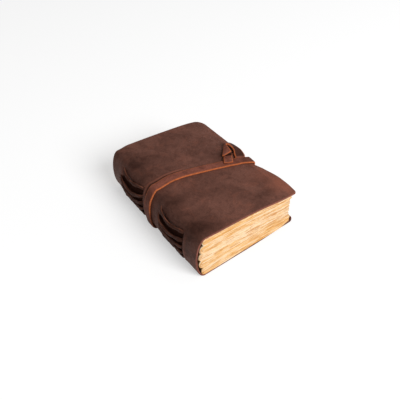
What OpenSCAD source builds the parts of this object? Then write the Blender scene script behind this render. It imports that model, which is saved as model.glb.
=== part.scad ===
// Leather wrap journal, lying shut on its back cover with its strap tied.
// X runs from the spine to the fore edge, Y from the tail to the head, Z up.
// The origin is the middle of the footprint on the table. Millimetres.

/* [Cover leather] */
// Cover past the leaves at its tail and at its head
cover_over = 1.5; // [0.5:0.1:5]
// Thickness of the cover leather
leather_t = 2.4; // [1.6:0.1:3]
// Height of the closed journal at the shoulder of the spine
spine_h = 61.8; // [54:0.2:70]
// Height of the front cover at its fore edge
fore_h = 52.2; // [46:0.2:58]
// Height at which the spine bulges furthest
bulge_h = 31; // [26:0.5:36]
// Reach of the round between the back cover and the spine
heel_r = 11.5; // [8:0.5:14]
// Reach of the round between the spine and the front cover
shoulder_r = 12.5; // [9:0.5:16]
// Rise of the front cover in its middle
crown = 1.5; // [0:0.1:3]
// Radius of the cover's head corners
head_corner_r = 12; // [6:0.5:18]
// Radius of the cover's tail corners
tail_corner_r = 3.5; // [2:0.5:8]
// Front cover past the leaves at the fore edge
front_over = 1.8; // [1:0.1:4]
// Extra reach of the front cover at its tail corner
tail_flare = 2.3; // [0:0.1:4]
// Back cover past the leaves at the fore edge
back_over = 8.1; // [6.5:0.1:10]
// Radius of the lip that curls up along the back cover's fore edge
lip_r = 7; // [5:0.5:8]
// Length by which the leather spreads beside the heel of the spine
heel_spread = 2; // [0:0.2:3]
// Depth by which the leaves hang over the back cover's tail edge
tail_recess = 2.4; // [0:0.2:3]

/* [Leaves] */
// Width of a leaf from fold to fore edge
page_w = 135.5; // [115:0.5:150]
// Length of a leaf from tail to head
page_len = 181; // [156:1:206]
// Space between the folds and the inside of the spine
spine_gap = 3.6; // [3:0.1:5]
// Depth of the round of a fold
fold_round = 4.5; // [3:0.1:5]
// Ragged depth of the torn leaf edges
deckle = 0.8; // [0:0.1:1.2]
// Depth of the hollow along the fore edge
fore_hollow = 3.6; // [1:0.1:4.5]
// Reach by which the lowest leaves spread past the others at tail and head
leaf_spread = 3.6; // [1:0.1:3.6]

/* [Lacing] */
// Width of a lace
lace_w = 3.8; // [3:0.1:5]
// Thickness of a lace
lace_t = 2; // [1.4:0.1:2.4]
// Gap under the middle of an outside run
lace_arch = 1.4; // [0.8:0.1:2.4]
// Depth at which a lace lies inside its fold
lace_depth = 4; // [3.6:0.1:6]
// Hole of the head run nearest to the head
head_hole = 68; // [60:1:74]
// Length of an outside run between its two holes
run_len = 50; // [42:1:54]
// Hole of the tail run nearest to the strap, measured from the middle
tail_hole = 16; // [13:1:20]

/* [Strap] */
// Width of the strap
strap_w = 11.5; // [9:0.5:14]
// Thickness of the strap
strap_t = 2.4; // [1.6:0.1:3]
// Place of the strap along the spine, towards the head
strap_y = 5; // [0:0.5:6]
// Slant of the strap towards the tail
strap_slant = 0.212; // [0.1:0.01:0.26]
// Depth by which the pull of the strap draws the front cover in
strap_pull = 3.6; // [1:0.1:5]

/* [Fits] */
// Clearance between soft faces that touch
fit = 0.3; // [0.2:0.05:0.4]

/* [Hidden] */

leather_brown = [0.36, 0.25, 0.2];
lace_brown = [0.3, 0.18, 0.14];
strap_brown = [0.51, 0.31, 0.24];
paper_cream = [0.95, 0.85, 0.68];

gatherings = 5;
// Tucked end of a lace inside its fold
tuck = 7;
// Depth by which two layers of the tied strap are pressed together
bond = 0.1;
cover_len = page_len + 2 * cover_over;
half_w = (lace_arch + lace_t + fit + leather_t + spine_gap + page_w + back_over) / 2;
spine_x = -half_w + lace_arch + lace_t + fit;
fold_x = spine_x + leather_t + spine_gap;
page_x = fold_x + page_w;
front_x = page_x + front_over;
back_x = page_x + back_over;
heel_x = spine_x + heel_r;
shoulder_x = spine_x + shoulder_r;
lip_angle = 70;
lip_x = back_x - lip_r * sin(lip_angle);
// The strap leaves the shoulder square and turns to its slant over this half length
turn_x = spine_x + 45;
turn_soft = 14;
// The leather dips beside the strap: flat under it, then a slope back to its own height
groove = strap_t + fit;
groove_in = strap_w / 2 + 1.2;
groove_out = groove_in + 11;
strap_dip = 0.6;
// Stretch of the front cover that the strap draws in, and how far its pull reaches beside it
pull_reach = 32;
pull_fade = 45;
tail_rise = 1.2;
// The front cover starts to reach out this far past the middle, towards the tail
flare_from = 25;
flare_len = 45;

function mix(a, b, t) = a + (b - a) * t;
function clamp(t) = min(1, max(0, t));
function ease(t) = let (c = clamp(t)) c * c * (3 - 2 * c);
function hash(a, b) = let (v = sin(a * 127.1 + b * 311.7) * 438.5) v - floor(v);

// Middle line of the strap on both covers
function strap_at(x) = let (e = min(turn_soft, max(-turn_soft, x - turn_x)))
    strap_y - strap_slant * ((e + turn_soft) ^ 2 / (4 * turn_soft) + max(0, x - turn_x - turn_soft));
// 1 under the strap, falling to 0 beside it
function under_strap(x, y) =
    clamp((groove_out - abs(y - strap_at(x))) / (groove_out - groove_in));

// Outer face of the front cover
function front_edge(y) = front_x + tail_flare * ease((-y - flare_from) / flare_len);
function sag(y) = mix(strap_pull, y > 0 ? strap_pull * 0.7 : -tail_rise,
    ease((abs(y - strap_at(front_x)) - groove_in) / pull_fade));
function front_z(x, y) =
    let (t = clamp((x - shoulder_x) / (front_x - shoulder_x)),
        s = clamp((x - front_x + pull_reach) / pull_reach))
    mix(spine_h, fore_h, t) + crown * sin(180 * t) - sag(y) * s * s
        - under_strap(x, y) * strap_dip * t;
// Outer face of the back cover, lifted off the table over the strap
function back_z(x, y) = groove * under_strap(x, y);

// Depth by which the strap draws the lip of the back cover in
function lip_draw(y) = groove * under_strap(back_x, y);

// Stations along the cover's section: [segment, share of it]
// Segments: 0 lip, 1 back cover, 2 heel, 3 shoulder, 4 front cover
function station_x(k) = k[0] == 0 ? lip_x + lip_r * sin(lip_angle * (1 - k[1]))
    : k[0] == 1 ? mix(lip_x, heel_x, k[1])
    : k[0] == 2 ? heel_x - heel_r * sin(90 * k[1])
    : k[0] == 3 ? shoulder_x - shoulder_r * cos(90 * k[1])
    : mix(shoulder_x, front_x, k[1]);
// Point at a station and at length y, d outside the cover's outer face
function skin(k, y, d) = let (x = station_x(k), t = k[1], turn = lip_angle * (1 - t))
    k[0] == 0 ? [lip_x - lip_draw(y) + (lip_r + d) * sin(turn), y,
        lip_r - (lip_r + d) * cos(turn) + back_z(x, y)]
    : k[0] == 1 ? [x - lip_draw(y) * (1 - t), y, back_z(x, y) - d]
    : k[0] == 2 ? [heel_x - (heel_r + d) * sin(90 * t), y,
        bulge_h - (bulge_h + d) * cos(90 * t) + back_z(x, y) * (1 - t) ^ 2]
    : k[0] == 3 ? [shoulder_x - (shoulder_r + d) * cos(90 * t), y,
        bulge_h + (spine_h - bulge_h + d) * sin(90 * t)]
    : [mix(x, x - front_x + front_edge(y), t), y, front_z(x, y) + d];

STATIONS = concat(
    [for (i = [0:3]) [0, i / 4]],
    [for (i = [0:7]) [1, i / 8]],
    [for (i = [0:6]) [2, i / 7]],
    [for (i = [0:6]) [3, i / 7]],
    [for (t = [0, 0.1, 0.23, 0.36, 0.5, 0.64, 0.77, 0.86, 0.908, 0.945, 0.975, 0.992, 1]) [4, t]]);

// Rows across the journal: [share of the half length, offset, share of the strap's place]
row_step = 7;
ROWS = [[-1, 0, 0], [-0.96, 0, 0], [-0.86, 0, 0], [-0.72, 0, 0], [-0.56, 0, 0.25], [-0.42, 0, 0.6],
    [0, -groove_out - row_step, 1], [0, -groove_out, 1], [0, -groove_in, 1], [0, groove_in, 1],
    [0, groove_out, 1], [0, groove_out + row_step, 1], [0.42, 0, 0.6], [0.56, 0, 0.25],
    [0.72, 0, 0], [0.86, 0, 0], [0.96, 0, 0], [1, 0, 0]];
function row_y(r, tail, head, x) = r[0] * (r[0] < 0 ? tail : head) + r[1] + r[2] * strap_at(x);

// Half length of the cover where its corner of radius r rounds it off, the back cover being
// drawn in by a recess up to the heel, where it spreads
head_recess = 0.6;
function corner(x, edge, r) = let (e = max(0, x - edge + r)) r - sqrt(max(0, r * r - e * e));
function spread_at(k, recess) = k[0] == 0 ? -recess
    : k[0] == 1 ? mix(-recess, heel_spread, ease((k[1] - 0.66) / 0.24))
    : k[0] == 2 ? heel_spread * (1 - k[1]) : 0;
function cover_half(k, r, recess) =
    cover_len / 2 + spread_at(k, recess) - corner(station_x(k), k[0] < 2 ? back_x : front_x, r);

// Faces of a grid of points n rows by m columns, from index s on
function grid(n, m, s, flip) = [for (i = [0:n - 2], j = [0:m - 2], h = [0, 1])
    let (a = s + i * m + j, b = a + 1, c = a + m, e = c + 1)
    flip ? (h == 0 ? [a, c, b] : [b, c, e]) : (h == 0 ? [a, b, c] : [b, e, c])];
// Wall between the outlines of two such grids, k apart
function rim(n, m, k) = let (
    loop = concat([for (j = [0:m - 1]) j], [for (i = [1:n - 1]) i * m + m - 1],
        [for (j = [m - 2:-1:0]) (n - 1) * m + j], [for (i = [n - 2:-1:1]) i * m]))
    [for (i = [0:len(loop) - 1], h = [0, 1])
        let (a = loop[i], b = loop[(i + 1) % len(loop)])
        h == 0 ? [a, a + k, b] : [b, a + k, b + k]];

// The tied end, by pairs of edge points: [from the fore edge, from the strap's middle line] in
// strap widths, and layers of strap below. It comes out from under the strap and turns round.
TIE_LOOP = [
    [[-0.83, 0.2, 0], [-1.7, 0.59, 0]], [[-0.52, 0.64, 0], [-1.56, 0.98, 0]],
    [[-0.17, 1.12, 0], [-1.37, 1.3, 0]], [[-0.03, 1.68, 0.1], [-1.23, 1.64, 0.3]],
    [[0.04, 2.21, 0.1], [-0.99, 1.97, 0.8]], [[-0.01, 2.73, 0.2], [-0.88, 2.26, 1.3]],
    [[-0.14, 3.32, 0.4], [-0.87, 2.56, 1.8]], [[-0.38, 3.67, 0.6], [-0.91, 2.84, 2]],
    [[-0.77, 3.66, 0.8], [-0.97, 3.03, 2.2]], [[-1.23, 3.28, 1.1], [-1.05, 3.04, 2]],
    [[-2, 2.5, 0.9], [-1.21, 2.45, 1.8]], [[-2.76, 1.73, 1], [-1.42, 1.81, 1.8]]];
// It ends in a tail that leaves the fold and lies over the strap
TIE_TAIL = [
    [[-2.32, 2.07, 0], [-1.31, 1.8, 0]], [[-2.59, 1.73, 0], [-1.59, 1.46, 0]],
    [[-2.92, 1.33, 0.6], [-1.88, 1.1, 0.7]], [[-3.15, 1.01, 1], [-2.14, 0.73, 1]],
    [[-3.42, 0.65, 1], [-2.41, 0.32, 1]]];

// Inside of the spine at height z
function inner_x(z) = z < bulge_h
    ? heel_x - (heel_r - leather_t) * sqrt(1 - ((bulge_h - z) / (bulge_h - leather_t)) ^ 2)
    : shoulder_x - (shoulder_r - leather_t)
        * sqrt(1 - ((z - bulge_h) / (spine_h - bulge_h - leather_t)) ^ 2);
// Tip of the fold of gathering g, counted from the back cover
stack_h = spine_h - 2 * leather_t - 2 * fit;
function fold_z(g) = leather_t + fit + stack_h * (g + 0.5) / gatherings;
function fold_tip(g) = inner_x(fold_z(g)) + spine_gap;

// Semi-axes of the spine's outer face at a fold, and the middle of that round
function half_axes(g) = fold_z(g) < bulge_h ? [heel_r, bulge_h] : [shoulder_r, spine_h - bulge_h];
function round_x(g) = fold_z(g) < bulge_h ? heel_x : shoulder_x;
// Angle at which a lace leaves the leather, upwards
function lace_tilt(g) =
    let (ab = half_axes(g), s = (fold_z(g) - bulge_h) / ab[1]) atan2(s / ab[1], sqrt(1 - s * s) / ab[0]);
// Distance from the tip of the fold to the outer face of the spine
function lace_reach(g) =
    let (ab = half_axes(g), n = [cos(lace_tilt(g)), sin(lace_tilt(g))],
        p = [round_x(g) - fold_tip(g), fold_z(g) - bulge_h],
        qa = (n[0] / ab[0]) ^ 2 + (n[1] / ab[1]) ^ 2,
        qb = 2 * (p[0] * n[0] / ab[0] ^ 2 + p[1] * n[1] / ab[1] ^ 2),
        qc = (p[0] / ab[0]) ^ 2 + (p[1] / ab[1]) ^ 2 - 1)
    (-qb + sqrt(qb * qb - 4 * qa * qc)) / (2 * qa);
HOLES = [head_hole, head_hole - run_len, -tail_hole, -tail_hole - run_len];

module sheet_of_leather() {
    n = len(STATIONS);
    m = len(ROWS);
    face = [for (d = [0, -leather_t], k = STATIONS, r = ROWS)
        let (x = station_x(k), y = row_y(r, cover_half(k, tail_corner_r, tail_recess),
            cover_half(k, head_corner_r, head_recess), x))
        skin(k, y, d)];
    polyhedron(face, concat(grid(n, m, 0, false), grid(n, m, n * m, true), rim(n, m, n * m)));
}

// Frame of a lace: X outwards from the tip of its fold, Y along the spine
module lace_frame(g) {
    translate([fold_tip(g), 0, fold_z(g)])
        rotate([0, lace_tilt(g), 0])
            mirror([1, 0, 0]) children();
}
module lace_box(u0, u1, v0, v1) {
    w = lace_w + 2 * fit;
    translate([u0, v0, -w / 2]) cube([u1 - u0, v1 - v0, w]);
}
module lace_holes(u0, u1) {
    for (v = HOLES)
        lace_box(u0, u1, v - lace_t / 2 - fit, v + lace_t / 2 + fit);
}

module cover() {
    color(leather_brown) difference() {
        sheet_of_leather();
        for (g = [0:gatherings - 1])
            lace_frame(g) lace_holes(lace_reach(g) - leather_t - 1, lace_reach(g) + 1);
    }
}

// Height of the leaves at share s of the stack, between the two covers
function leaf_z(x, y, s) = mix(back_z(x, y) + leather_t + fit, front_z(x, y) - leather_t - fit, s);
// Fore edge of the leaves at share s of the stack; the lowest ones give way to the drawn-in lip
function leaf_fore(s, y) = page_x + fore_hollow * ((2 * s - 1) ^ 2 * (s < 0.5 ? 1.5 : 0.95) - 0.6)
    - (lip_draw(y) + fit) * clamp(1 - gatherings * s);
LEVELS = [1, 0.84, 0.68, 0.5, 0.32, 0.16, 0];
COLUMNS = [0, 0.05, 0.25, 0.5, 0.75, 0.88, 1];
edge_gap = fit / 3;
// Half length of the leaves at share s of the stack: the lowest ones slip out furthest
leaf_slip = 0.6;
function leaf_half(s) = page_len / 2 + leaf_spread * (1 - s) ^ 3 - leaf_slip;
// Torn edge at level q, in shares of the deckle: every other level stands out
function outer_level(q) = q == 0 || q == len(LEVELS) - 1;
function torn(q, a, b) = outer_level(q) ? -0.4 : (q % 2 == 0 ? 1 : -1) * (0.4 + 0.6 * hash(a, b));

// Point of a gathering at level q, column i and row j
function leaf_point(g, q, i, j) = let (
    t = LEVELS[q],
    s = (g + t) / gatherings,
    start = fold_tip(g) + fold_round * (1 - sqrt(1 - (2 * t - 1) ^ 2)),
    fore = leaf_fore(s, row_y(ROWS[j], page_len / 2, page_len / 2, page_x)) + deckle * torn(q, g + q, j),
    x = mix(start, fore, COLUMNS[i]),
    half = leaf_half(s) + deckle * torn(q, g - q, i),
    y = row_y(ROWS[j], half, half, x))
    [x, y, leaf_z(x, y, s) + (q == 0 ? -edge_gap : outer_level(q) ? edge_gap : 0)];

function outline(n, m) = concat([for (j = [0:m - 1]) [0, j]], [for (i = [1:n - 1]) [i, m - 1]],
    [for (j = [m - 2:-1:0]) [n - 1, j]], [for (i = [n - 2:-1:1]) [i, 0]]);

// The leaves of one gathering, folded at the spine and torn at the other edges
module gathering(g) {
    n = len(COLUMNS);
    m = len(ROWS);
    last = len(LEVELS) - 1;
    loop = outline(n, m);
    points = concat(
        [for (q = [0, last], i = [0:n - 1], j = [0:m - 1]) leaf_point(g, q, i, j)],
        [for (q = [1:last - 1], c = loop) leaf_point(g, q, c[0], c[1])]);
    function at(q, c) = let (k = c % len(loop)) q == 0 ? loop[k][0] * m + loop[k][1]
        : q == last ? n * m + loop[k][0] * m + loop[k][1] : 2 * n * m + (q - 1) * len(loop) + k;
    walls = [for (q = [0:last - 1], c = [0:len(loop) - 1], h = [0, 1])
        h == 0 ? [at(q, c), at(q + 1, c), at(q, c + 1)] : [at(q, c + 1), at(q + 1, c), at(q + 1, c + 1)]];
    polyhedron(points, concat(grid(n, m, 0, false), grid(n, m, n * m, true), walls));
}

module signature(g) {
    inside = -lace_depth - lace_t / 2 - fit;
    color(paper_cream) difference() {
        gathering(g);
        lace_frame(g) {
            lace_holes(inside, 3);
            for (v = [[HOLES[2] - lace_t / 2 - fit, HOLES[1] + lace_t / 2 + fit],
                    [HOLES[0] - tuck - fit, HOLES[0] + fit], [HOLES[3] - fit, HOLES[3] + tuck + fit]])
                lace_box(inside, inside + lace_t + 2 * fit, v[0], v[1]);
        }
    }
}

// Points of one outside run, i = 0 at its head end
run_steps = 12;
function run_edge(v0, v1, face, rise, power) = [for (i = [0:run_steps])
    [face + rise * sin(180 * i / run_steps) ^ power, mix(v0, v1, i / run_steps)]];
function reversed(a) = [for (i = [len(a) - 1:-1:0]) a[i]];

// One leather thong: two runs outside the spine, its inner run and both ends tucked in the fold
module lace(g) {
    face = lace_reach(g) + fit;
    back = -lace_depth - lace_t / 2;
    front = back + lace_t;
    h = lace_t / 2;
    near = concat([[front, HOLES[0] - tuck], [front, HOLES[0] - h]],
        run_edge(HOLES[0] - h, HOLES[1] + h, face, lace_arch, 0.8),
        [[back, HOLES[1] + h], [back, HOLES[2] - h]],
        run_edge(HOLES[2] - h, HOLES[3] + h, face, lace_arch, 0.8),
        [[front, HOLES[3] + h], [front, HOLES[3] + tuck]]);
    far = concat([[back, HOLES[0] - tuck], [back, HOLES[0] + h]],
        run_edge(HOLES[0] + h, HOLES[1] - h, face, lace_arch + lace_t, 0.35),
        [[front, HOLES[1] - h], [front, HOLES[2] + h]],
        run_edge(HOLES[2] + h, HOLES[3] - h, face, lace_arch + lace_t, 0.35),
        [[back, HOLES[3] - h], [back, HOLES[3] + tuck]]);
    color(lace_brown) lace_frame(g) translate([0, 0, -lace_w / 2])
        linear_extrude(lace_w) polygon(concat(near, reversed(far)));
}

// Share of a layer by which the strap rides over its own tied end near the fore edge
ride_len = 0.8;
ride_start = 2.1;
function ride(k) = k[0] == 5 ? clamp((k[1] - 15) / 75)
    : k[0] < 4 ? 0 : ease(((station_x(k) - front_x) / strap_w + ride_start) / ride_len);
// Stations of the strap; segment 5 turns over the cut edge of the front cover
STRAP_PATH = concat(STATIONS, [[5, 65, 0], [5, 40, 0], [5, 15, 0], [5, 0, 1]]);
function strap_point(k, side, d) = let (
    x = k[0] == 5 ? front_x : station_x(k),
    y = strap_at(x) + side * strap_w / 2,
    lift = fit + d + ride(k) * (strap_t - bond))
    k[0] == 5 ? [front_edge(y) + lift * cos(k[1]), y,
        front_z(front_x, y) + lift * sin(k[1]) - k[2] * leather_t]
    : skin(k, y, lift);

module strap_loop() {
    n = len(STRAP_PATH);
    points = [for (k = STRAP_PATH, c = [[-1, 0], [1, 0], [1, strap_t], [-1, strap_t]])
        strap_point(k, c[0], c[1])];
    faces = [for (i = [0:n - 1], c = [0:3], h = [0, 1])
        let (a = i * 4 + c, b = i * 4 + (c + 1) % 4, next = (i + 1) % n * 4,
            e = next + c, f = next + (c + 1) % 4)
        h == 0 ? [a, e, b] : [b, e, f]];
    polyhedron(points, faces);
}

// Edge point p of the tied end, d above its underside
function tie_point(p, d) = let (x = front_x + strap_w * p[0], y = strap_at(front_x) + strap_w * p[1])
    [x, y, front_z(x, y) + fit + (strap_t - bond) * p[2] + d];
// A stretch of the tied end between such pairs
module strap_piece(pairs) {
    n = len(pairs);
    points = [for (p = pairs, c = [[0, 0], [1, 0], [1, strap_t], [0, strap_t]])
        tie_point(p[c[0]], c[1])];
    faces = concat([[0, 1, 2, 3]], [[for (c = [3:-1:0]) (n - 1) * 4 + c]],
        [for (i = [0:n - 2], c = [0:3], h = [0, 1])
            let (a = i * 4 + c, b = i * 4 + (c + 1) % 4, e = a + 4, f = b + 4)
            h == 0 ? [a, e, b] : [b, e, f]]);
    polyhedron(points, faces);
}

module wrap_strap() {
    color(strap_brown) {
        strap_loop();
        strap_piece(TIE_LOOP);
        strap_piece(TIE_TAIL);
    }
}

cover();
signature(0);  // signature_1
signature(1);  // signature_2
signature(2);  // signature_3
signature(3);  // signature_4
signature(4);  // signature_5
lace(0);  // lace_1
lace(1);  // lace_2
lace(2);  // lace_3
lace(3);  // lace_4
lace(4);  // lace_5
wrap_strap();
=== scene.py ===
# Leather wrap journal: cover, laced gatherings of torn leaves, and the strap that ties it shut.
import math

import bpy
import numpy as np
from bpy.props import FloatProperty, FloatVectorProperty, IntProperty, PointerProperty
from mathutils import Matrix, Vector


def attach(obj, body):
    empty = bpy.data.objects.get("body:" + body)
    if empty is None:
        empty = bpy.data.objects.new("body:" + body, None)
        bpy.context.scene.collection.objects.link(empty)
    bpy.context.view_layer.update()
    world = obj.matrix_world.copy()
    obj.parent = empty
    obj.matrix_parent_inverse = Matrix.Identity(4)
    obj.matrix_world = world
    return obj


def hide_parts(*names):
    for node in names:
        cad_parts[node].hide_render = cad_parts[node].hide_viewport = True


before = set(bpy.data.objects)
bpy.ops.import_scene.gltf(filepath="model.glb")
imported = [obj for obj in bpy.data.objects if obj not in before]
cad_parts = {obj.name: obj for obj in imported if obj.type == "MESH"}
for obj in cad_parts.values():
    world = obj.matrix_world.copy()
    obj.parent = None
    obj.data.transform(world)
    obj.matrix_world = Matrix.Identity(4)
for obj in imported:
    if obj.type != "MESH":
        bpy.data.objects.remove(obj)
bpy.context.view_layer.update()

bl_info = {
    "name": "Leather Wrap Journal",
    "version": (1, 0, 0),
    "blender": (4, 5, 0),
    "location": "View3D > Sidebar > Journal",
    "description": "Makes a handmade leather journal with laced gatherings and a tied strap",
    "category": "Add Mesh",
}

MM = 0.001


def tint(code):
    """Linear colour of a six-figure colour code."""
    shares = [int(code[i:i + 2], 16) / 255 for i in (0, 2, 4)]
    return tuple(v / 12.92 if v < 0.04045 else ((v + 0.055) / 1.055) ** 2.4 for v in shares)


def length(name, words, millimetres):
    """A size in the side panel."""
    return FloatProperty(name=name, description=words, default=millimetres * MM, min=0,
                         unit="LENGTH", subtype="DISTANCE")


def colour(name, words, code):
    """A colour in the side panel."""
    return FloatVectorProperty(name=name, description=words, default=tint(code), size=3,
                               min=0, max=1, subtype="COLOR")


class CoverSettings(bpy.types.PropertyGroup):
    cover_len: length("Length", "Cover from tail to head", 184)
    leather_t: length("Leather", "Thickness of the cover leather", 2.4)
    spine_h: length("Spine height", "Height of the closed journal at its spine", 61.8)
    fore_h: length("Fore edge height", "Height of the front cover at its fore edge", 52.2)
    bulge_h: length("Bulge height", "Height at which the spine bulges furthest", 31)
    heel_r: length("Heel round", "Reach of the round between back cover and spine", 11.5)
    shoulder_r: length("Shoulder round", "Reach of the round between spine and front cover", 12.5)
    crown: length("Crown", "Rise of the front cover in its middle", 1.5)
    head_corner_r: length("Head corners", "Radius of the cover's head corners", 12)
    tail_corner_r: length("Tail corners", "Radius of the cover's tail corners", 3.5)
    front_over: length("Front overhang", "Front cover past the leaves at the fore edge", 1.8)
    tail_flare: length("Tail flare", "Extra reach of the front cover at its tail corner", 2.9)
    back_over: length("Back overhang", "Back cover past the leaves at the fore edge", 8.1)
    lip_r: length("Lip round", "Radius of the lip that curls up along the back cover", 7)
    heel_spread: length("Heel spread", "Length by which the leather spreads beside the heel", 1.4)
    brown: colour("Brown", "Main colour of the waxed leather", "7b5246")
    # Dark brown is also painted shade: on the spine side, in the groove beside the strap, under the
    # laces, and on the strap and its tie.
    dark: colour("Dark brown", "Leather where it is creased, oiled or dirty", "3a221b")
    worn: colour("Worn tan", "Leather where it has been rubbed or stretched", "945b49")
    raw: colour("Cut edge", "Raw edge of the cover leather", "93594c")


class LeafSettings(bpy.types.PropertyGroup):
    page_w: length("Width", "Leaf from fold to fore edge", 135.5)
    page_len: length("Length", "Leaf from tail to head", 181)
    spine_gap: length("Spine gap", "Space between the folds and the inside of the spine", 3.6)
    fold_round: length("Fold round", "Depth of the round of a fold", 4.5)
    deckle: length("Deckle", "Ragged depth of the torn leaf edges", 0.9)
    fore_hollow: length("Fore hollow", "Depth of the hollow along the fore edge", 3.6)
    leaf_spread: length("Leaf spread", "Reach of the lowest leaves past the others", 3.6)
    sheets: IntProperty(name="Sheets", description="Folded sheets in each gathering",
                        default=13, min=4, max=20)
    cream: colour("Cream", "Pale cotton paper", "ead5b6")
    golden: colour("Golden", "Paper where it is stained along its torn edge", "e0b373")
    # Amber also colours the deepest stains along the torn edges; in the grooves between sheets and
    # on the hidden fold faces it is painted shade.
    amber: colour("Amber", "Shade deep between two leaves", "c08346")


class LaceSettings(bpy.types.PropertyGroup):
    lace_w: length("Width", "Width of a lace", 3.8)
    lace_t: length("Thickness", "Thickness of a lace", 2)
    lace_arch: length("Arch", "Gap under the middle of an outside run", 1.4)
    lace_depth: length("Depth", "Depth at which a lace lies inside its fold", 4)
    head_hole: length("Head hole", "Hole of the head run nearest to the head", 68)
    run_len: length("Run", "Length of an outside run between its two holes", 50)
    tail_hole: length("Tail hole", "Hole of the tail run nearest to the strap", 16)
    brown: colour("Lace brown", "Face of the laces", "45281e")
    raw: colour("Lace edge", "Cut edge of the laces", "7a4c3c")


class StrapSettings(bpy.types.PropertyGroup):
    strap_w: length("Width", "Width of the strap", 11.5)
    strap_t: length("Thickness", "Thickness of the strap", 2.4)
    strap_y: length("Place", "Place of the strap along the spine, towards the head", 5)
    strap_pull: length("Pull", "Depth by which the strap draws the front cover in", 3.6)
    slant: FloatProperty(name="Slant", description="Slant of the strap towards the tail",
                         default=0.212, min=0, max=0.4)
    brown: colour("Strap brown", "Face of the strap", "915646")
    raw: colour("Raw edge", "Orange cut edge of the strap", "be683e")


class StageSettings(bpy.types.PropertyGroup):
    lens: FloatProperty(name="Lens", description="Focal length of the camera", default=40.75,
                        min=10, unit="CAMERA")
    distance: length("Distance", "Camera to the point that it aims at", 571.08)
    turn: FloatProperty(name="Turn", description="Camera's turn round the journal",
                        default=math.radians(-36.634), subtype="ANGLE", unit="ROTATION")
    rise: FloatProperty(name="Rise", description="Camera's height above the horizon",
                        default=math.radians(44.831), subtype="ANGLE", unit="ROTATION")
    key: FloatProperty(name="Key light", description="Power of the large soft light",
                       default=147, min=0, unit="POWER")
    fill: FloatProperty(name="Fill", description="Strength of the light from all round",
                        default=0.36, min=0)
    floor: colour("Floor", "Colour of the table", "f4f4f4")


# Numbers from 0 to 1 that change smoothly along curves and surfaces

def mix(a, b, share):
    return a + (b - a) * share


def ease(share):
    """0 to 1 with a soft start and end."""
    c = np.clip(share, 0, 1)
    return c * c * (3 - 2 * c)


def band(value, low, high, soft):
    """1 between low and high, falling to 0 over the width soft outside them."""
    return ease((value - low) / soft + 1) * ease((high - value) / soft + 1)


def bell(value, width):
    """1 at 0, falling smoothly towards 0 on both sides."""
    return np.exp(-(value / width) ** 2)


def lattice(i, j, k, seed):
    """A fixed number from -1 to 1 for each point of a grid."""
    v = np.sin(i * 127.1 + j * 311.7 + k * 74.7 + seed * 53.3) * 43758.5453
    return 2 * (v - np.floor(v)) - 1


def drift(x, y, z=0.0, seed=0):
    """Smooth uneven numbers from -1 to 1 that change over a distance of 1."""
    x, y, z = np.broadcast_arrays(np.asarray(x, float), y, z)
    i, j, k = np.floor(x), np.floor(y), np.floor(z)
    u, v, w = (f * f * (3 - 2 * f) for f in (x - i, y - j, z - k))
    low, high = (mix(mix(lattice(i, j, k + n, seed), lattice(i + 1, j, k + n, seed), u),
                     mix(lattice(i, j + 1, k + n, seed), lattice(i + 1, j + 1, k + n, seed), u), v)
                 for n in (0, 1))
    return mix(low, high, w)


GATHERINGS = 5
LIP, BACK, HEEL, SHOULDER, FRONT = range(5)
LIP_ANGLE = math.radians(70)
FIT = 0.3 * MM
# Depth by which the strap presses the shoulder in, at shares of the way up to the front cover
PRESS_AT = (0, 0.35, 0.6, 0.8, 1)
PRESS = np.array([1.7, 2.4, 3.8, 4.1, 3.3]) * MM
PRESS_RUN = 23 * MM


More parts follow.
